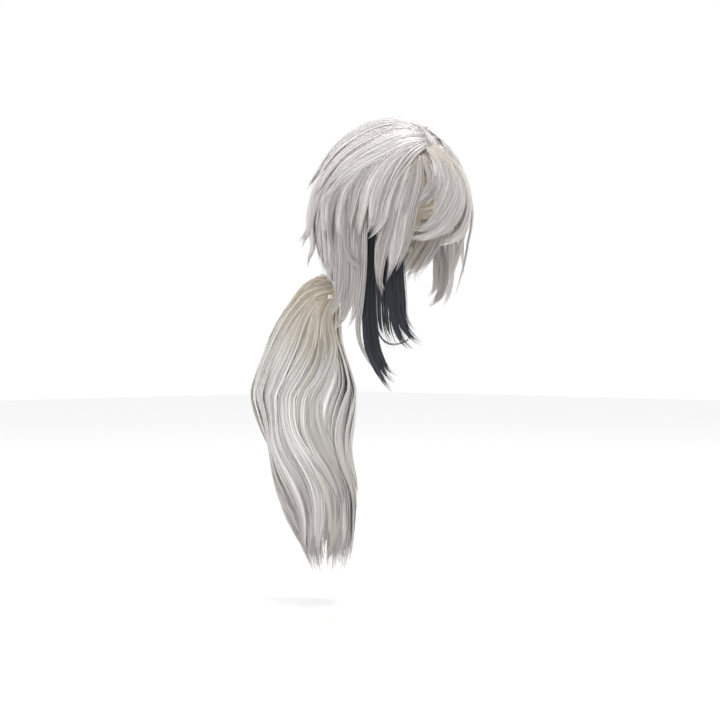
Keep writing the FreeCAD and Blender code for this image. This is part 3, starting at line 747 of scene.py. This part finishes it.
def make_front_lock(material):
    """The long lock in front of the wearer's right ear."""
    hair = Bundle(37)
    hair.locks(hung_to(FRONT_LOCK_GUIDES, "front_lock_right"), clumps=20, hairs=36, depth=2.4,
               spread=(0.5, 0.95, 1, 0.1))
    return hair.build("right_front_lock", material)


def make_fringe(material):
    """The fringe: from the parting down the brow, then swept to the wearer's right."""
    hair = Bundle(41)
    hair.locks(FRINGE_GUIDES, clumps=18, hairs=34, spread=(0.8, 1, 0.9, 0.2))
    hair.locks(WISP_GUIDES, clumps=1, hairs=10, body=0, thick=0.9, wave=1.6, ragged=0.3)
    return hair.build("fringe_hair", material)


def make_black_hair(material):
    """The two black locks that hang from under the white hair on the right."""
    hair = Bundle(47)
    hair.locks(hung_to(BLACK_REAR_GUIDES, "black_lock_back"), depth=2.4, hairs=30,
               spread=(0.9, 1, 0.9, 0.3), ragged=0.12, thick=1.0)
    hair.locks(hung_to(BLACK_FRONT_GUIDES, "black_lock_front"), depth=2.4, hairs=36,
               spread=(0.9, 1, 1, 0.7), ragged=0.18, thick=0.9, body=0.7)
    hair.locks(BLACK_SPARSE_GUIDES, clumps=12, hairs=36, spread=(0.9, 1, 1.1, 1.0), ragged=0.3,
               thick=0.7, body=0.4)
    hair.lock(guide((), BLACK_LOOP), 0.8, 0.8, 3, 8, spread=(1, 1, 1, 1), ragged=0.05, thick=0.5, body=0)
    return hair.build("black_hair", material)


# ---- ponytail -----------------------------------------------------------------------------

TAIL_TURN = math.radians(-42)
TAIL_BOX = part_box("ponytail")
TAIL_TOP = TAIL_BOX[1][2] / MM
TAIL_LENGTH = TAIL_TOP - TAIL_BOX[0][2] / MM
# Down the tail: y, part of the way from the top of the ponytail to its end, half width, half
# thickness. The first rows are the hair sewn over the clip.
TAIL_GUIDE = [
    (98, -0.100, 10, 9), (110, -0.097, 21, 18), (124, -0.084, 26, 21), (136, -0.045, 31, 24),
    (148, 0.022, 42, 30), (159, 0.106, 54, 38), (165, 0.212, 66, 44), (165, 0.306, 72, 46),
    (156, 0.401, 66, 43), (146, 0.554, 60, 40), (134, 0.713, 55, 35), (121, 0.827, 46, 29),
    (113, 0.922, 34, 22), (113, 1.011, 16, 12),
]
TAIL_MARKS = np.array([(0, y, TAIL_TOP - drop * TAIL_LENGTH) for y, drop, _, _ in TAIL_GUIDE])


def tail_frames(count):
    """Centre, width axis, depth axis and half sizes at even steps down the tail."""
    centre = spline(TAIL_MARKS, count)
    run = np.concatenate([[0], np.cumsum(np.linalg.norm(np.diff(TAIL_MARKS, axis=0), axis=1))])
    places = run / run[-1]
    grid = np.linspace(0, 1, count)
    width = np.interp(grid, places, [row[2] for row in TAIL_GUIDE])
    depth = np.interp(grid, places, [row[3] for row in TAIL_GUIDE])
    turn = np.interp(grid, [0, 0.12, 0.3, 1], [0, 0.3, 1, 1]) * TAIL_TURN
    across = np.stack([np.cos(turn), np.sin(turn), np.zeros(count)], axis=1)
    tangent = unit(np.gradient(centre, axis=0))
    out = unit(np.cross(tangent, across))
    return centre, across, out, width, depth


def add_tail_locks(hair, number, radius_range, width, ends, **style):
    """Wavy locks down the tail, each at its own place in the oval of the tail."""
    rng = hair.rng
    centre, across, out, half_width, half_depth = tail_frames(GUIDE_POINTS)
    grid = np.linspace(0, 1, GUIDE_POINTS)
    for index in range(number):
        angle = 2 * math.pi * (index + rng.uniform(-0.3, 0.3)) / number
        radius = rng.uniform(*radius_range)
        end = rng.uniform(*ends)
        s = grid * end
        sampled = [np.stack([np.interp(s, grid, a[:, k]) for k in range(3)], axis=1)
                   for a in (centre, across, out)]
        wide = np.interp(s, grid, half_width)
        deep = np.interp(s, grid, half_depth)
        late = 0.2 * math.sin(angle) + rng.uniform(-0.03, 0.03)
        swing = angle + 0.27 * np.sin(2 * math.pi * (s * 2.1 + late)) * np.interp(s, [0, 0.2], [0, 1])
        ripple = 1 + 0.05 * np.sin(2 * math.pi * (s * 3.1 + 2 * late))
        reach = radius * ripple
        path = (
            sampled[0] + sampled[1] * (np.cos(swing) * wide * reach)[:, None]
            + sampled[2] * (np.sin(swing) * deep * reach)[:, None]
        )
        ups = unit(sampled[1] * np.cos(swing)[:, None] + sampled[2] * np.sin(swing)[:, None])
        hair.lock(path[::3], width, 2.6, ups=ups, **style)


def make_tail(material):
    """The ponytail in layers, from a plain core to loose wavy locks with ragged ends."""
    core = Bundle(53)
    add_tail_locks(core, 18, (0.55, 0.72), 20, (0.9, 0.97), clumps=8, hairs=0, thick=4.5, wave=1.5, steps=24,
                   spread=(0.4, 1.0, 1.0, 0.4))
    pieces = [core.build("tail_core", material)]
    for number, seed in enumerate((59, 61, 67)):
        outer = Bundle(seed)
        style = {"clumps": 15, "hairs": 24, "steps": 28, "ragged": 0.14, "spread": (0.45, 1.0, 1.05, 0.3)}
        add_tail_locks(outer, 13, (0.78, 0.90), 13, (0.92, 1.0), thick=1.6, wave=1.6, **style)
        add_tail_locks(outer, 5, (0.88, 0.97), 10, (0.66, 0.88), thick=1.4, wave=1.8, **style)
        pieces.append(outer.build("tail_locks_%d" % (number + 1), material))
    return pieces


def make_root_hair(side, material):
    """Hair stitched along the outside of one jaw, combed back towards the tail. side is 1 on the
    wearer's left."""
    hair = Bundle(71 + side, 0.15)
    for low in range(5):
        z = -68 - 6 * low
        path = [
            (side * 9.5, 102.5, z), (side * 15, 108, z - 1), (side * 18, 116, z - 2), (side * 17, 124, z - 4),
        ]
        ups = np.tile([side, 0.0, 0.0], (GUIDE_POINTS, 1))
        hair.lock(path, 4, 1.0, 8, 10, spread=(0.2, 1, 1, 0.5), ups=ups, steps=10)
    return hair.build("jaw_hair_%s" % ("left" if side > 0 else "right"), material)


# ---- cap, clip and other CAD nodes ----------------------------------------------------------

FABRIC_ROUGHNESS = 0.85
FABRIC_RELIEF = 0.0003
PLASTIC_ROUGHNESS = 0.32


def fabric_material(name, light, dark, scale, kind="WEAVE"):
    """Cloth with a fine pattern: a net of cells or the ribs of a weave."""
    material, tree, shader = new_material(name)
    coordinate = tree.nodes.new("ShaderNodeTexCoord")
    if kind == "NET":
        cells = add_node(tree, "ShaderNodeTexVoronoi", {"feature": "DISTANCE_TO_EDGE"}, {"Scale": scale})
        tree.links.new(coordinate.outputs["Object"], cells.inputs["Vector"])
        height = cells.outputs["Distance"]
        stops = [(0.06, light), (0.13, dark)]
    else:
        waves = add_node(tree, "ShaderNodeTexWave", {"bands_direction": "Z"},
                         {"Scale": scale, "Distortion": 0.6, "Detail": 2.0})
        tree.links.new(coordinate.outputs["Object"], waves.inputs["Vector"])
        height = waves.outputs["Fac"]
        stops = [(0.2, dark), (0.7, light)]
    colour = add_ramp(tree, height, stops)
    grime = add_node(tree, "ShaderNodeTexNoise", values={"Scale": 60.0, "Detail": 4.0})
    tree.links.new(coordinate.outputs["Object"], grime.inputs["Vector"])
    wear = add_ramp(tree, grime.outputs["Fac"], [(0.3, (0.90, 0.89, 0.87)), (0.7, (1, 1, 1))])
    tree.links.new(add_mix(tree, "MULTIPLY", 1.0, colour, wear), shader.inputs["Base Color"])
    bump = add_node(tree, "ShaderNodeBump", values={"Strength": 0.6, "Distance": FABRIC_RELIEF})
    tree.links.new(height, bump.inputs["Height"])
    tree.links.new(bump.outputs["Normal"], shader.inputs["Normal"])
    shader.inputs["Roughness"].default_value = FABRIC_ROUGHNESS
    return material


def plastic_material(name, base, edge):
    """Moulded plastic with faint flow marks."""
    material, tree, shader = new_material(name)
    coordinate = tree.nodes.new("ShaderNodeTexCoord")
    flow = add_node(tree, "ShaderNodeTexNoise", values={"Scale": 90.0, "Detail": 3.0, "Distortion": 1.5})
    tree.links.new(coordinate.outputs["Object"], flow.inputs["Vector"])
    colour = add_ramp(tree, flow.outputs["Fac"], [(0.3, edge), (0.7, base)])
    tree.links.new(colour, shader.inputs["Base Color"])
    gloss = add_node(tree, "ShaderNodeMapRange", values={
        "To Min": PLASTIC_ROUGHNESS - 0.05, "To Max": PLASTIC_ROUGHNESS + 0.1})
    tree.links.new(flow.outputs["Fac"], gloss.inputs["Value"])
    tree.links.new(gloss.outputs["Result"], shader.inputs["Roughness"])
    bump = add_node(tree, "ShaderNodeBump", values={"Strength": 0.15, "Distance": 0.0004})
    tree.links.new(flow.outputs["Fac"], bump.inputs["Height"])
    tree.links.new(bump.outputs["Normal"], shader.inputs["Normal"])
    return material


def steel_material(name, roughness):
    """Drawn steel with fine lines."""
    material, tree, shader = new_material(name)
    coordinate = tree.nodes.new("ShaderNodeTexCoord")
    lines = add_node(tree, "ShaderNodeTexNoise", values={"Scale": 900.0, "Detail": 2.0})
    tree.links.new(coordinate.outputs["Object"], lines.inputs["Vector"])
    tone = add_ramp(tree, lines.outputs["Fac"], [(0.3, (0.50, 0.50, 0.51)), (0.7, (0.66, 0.66, 0.67))])
    tree.links.new(tone, shader.inputs["Base Color"])
    gloss = add_node(tree, "ShaderNodeMapRange", values={"To Min": roughness, "To Max": roughness + 0.2})
    tree.links.new(lines.outputs["Fac"], gloss.inputs["Value"])
    tree.links.new(gloss.outputs["Result"], shader.inputs["Roughness"])
    shader.inputs["Metallic"].default_value = 1.0
    return material


def paint_nodes():
    """Gives every CAD node that stays in view its own material."""
    beige = (0.62, 0.53, 0.43)
    pale = (0.78, 0.72, 0.63)
    finishes = {
        "cap_net": fabric_material("net", (0.72, 0.64, 0.54), (0.50, 0.42, 0.34), 520.0, "NET"),
        "cap_band": fabric_material("band", pale, beige, 260.0),
        "elastic": fabric_material("elastic", (0.76, 0.70, 0.61), (0.60, 0.53, 0.44), 420.0),
        "weft_track": fabric_material("weft", (0.78, 0.76, 0.72), (0.62, 0.59, 0.55), 700.0),
        "parting_patch": fabric_material("patch", (0.74, 0.60, 0.48), (0.62, 0.48, 0.37), 900.0, "NET"),
        "thread": fabric_material("thread", (0.78, 0.73, 0.62), (0.58, 0.52, 0.42), 520.0),
        "tie_rubber": fabric_material("tie", (0.60, 0.55, 0.48), (0.45, 0.40, 0.34), 300.0),
        "slider_plastic": plastic_material("slider", (0.74, 0.68, 0.58), (0.66, 0.60, 0.50)),
        "claw_plastic": plastic_material("claw", (0.72, 0.66, 0.56), (0.64, 0.57, 0.47)),
        "stay_steel": steel_material("stay", 0.3),
        "claw_steel": steel_material("pin", 0.25),
    }
    for row in frame["record"]["subparts"]:
        finish = finishes.get(row["material_slot"])
        if finish:
            mesh = frame["nodes"][row["node"]].data
            mesh.materials.clear()
            mesh.materials.append(finish)


# ---- the scene ----------------------------------------------------------------------------

make_camera()
make_studio()
paint_nodes()

white = hair_material("white_hair", WHITE_ALONG, WHITE_SHADES, 0.34, 0.7)
front = hair_material("front_hair", FRONT_ALONG, WHITE_SHADES, 0.34, 0.7)
cream = hair_material("tail_hair", TAIL_ALONG, TAIL_SHADES, 0.35, 0.7)
black = hair_material("black_hair", BLACK_ALONG, BLACK_SHADES, 0.38, 0.55, glow=0.0)

under_hair = make_under_hair(white)
back_low = make_back_layers("back_hair_low", 23, BACK_LOW_LAYERS, white)
back_mid = make_back_layers("back_hair_middle", 24, BACK_MIDDLE_LAYERS, white)
# The top layer at the back gets lighter tones than the lower layers: painted light on the top of the head.
back_top = make_back_layers("back_hair_top", 25, BACK_TOP_LAYERS, white, tones=(0.6, 1.0))
swept = make_swoops(white)
strays = make_strays(white)
bun = make_bun(white)
for piece in (under_hair, back_low, back_mid, back_top, swept, strays, bun):
    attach(piece, "root")
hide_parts("crown_hair", "temple_hair_left", "temple_hair_right")
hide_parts("hair_bun")
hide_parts("nape_hair", "back_hair_lower")
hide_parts("back_hair_upper")

right_side = make_right_hair(white)
right_front = make_front_lock(front)
for piece, node in ((right_side, "side_lock_right"), (right_front, "front_lock_right")):
    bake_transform(piece)
    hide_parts(node)

left_side = make_left_hair(white)
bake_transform(left_side)
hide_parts("front_lock_left", "side_lock_left")

fringe = make_fringe(front)
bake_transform(fringe)
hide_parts("fringe_centre", "fringe_left", "fringe_wisp")

black_hair = make_black_hair(black)
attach(black_hair, "right_locks")
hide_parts("black_lock_front", "black_lock_back")

tail_pieces = make_tail(cream)
for piece in tail_pieces:
    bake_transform(piece)
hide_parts("ponytail", "tail_crest")
for side, word in ((1, "left"), (-1, "right")):
    jaw_hair = make_root_hair(side, cream)
    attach(jaw_hair, "jaw_" + word)
    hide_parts("root_hair_" + word)
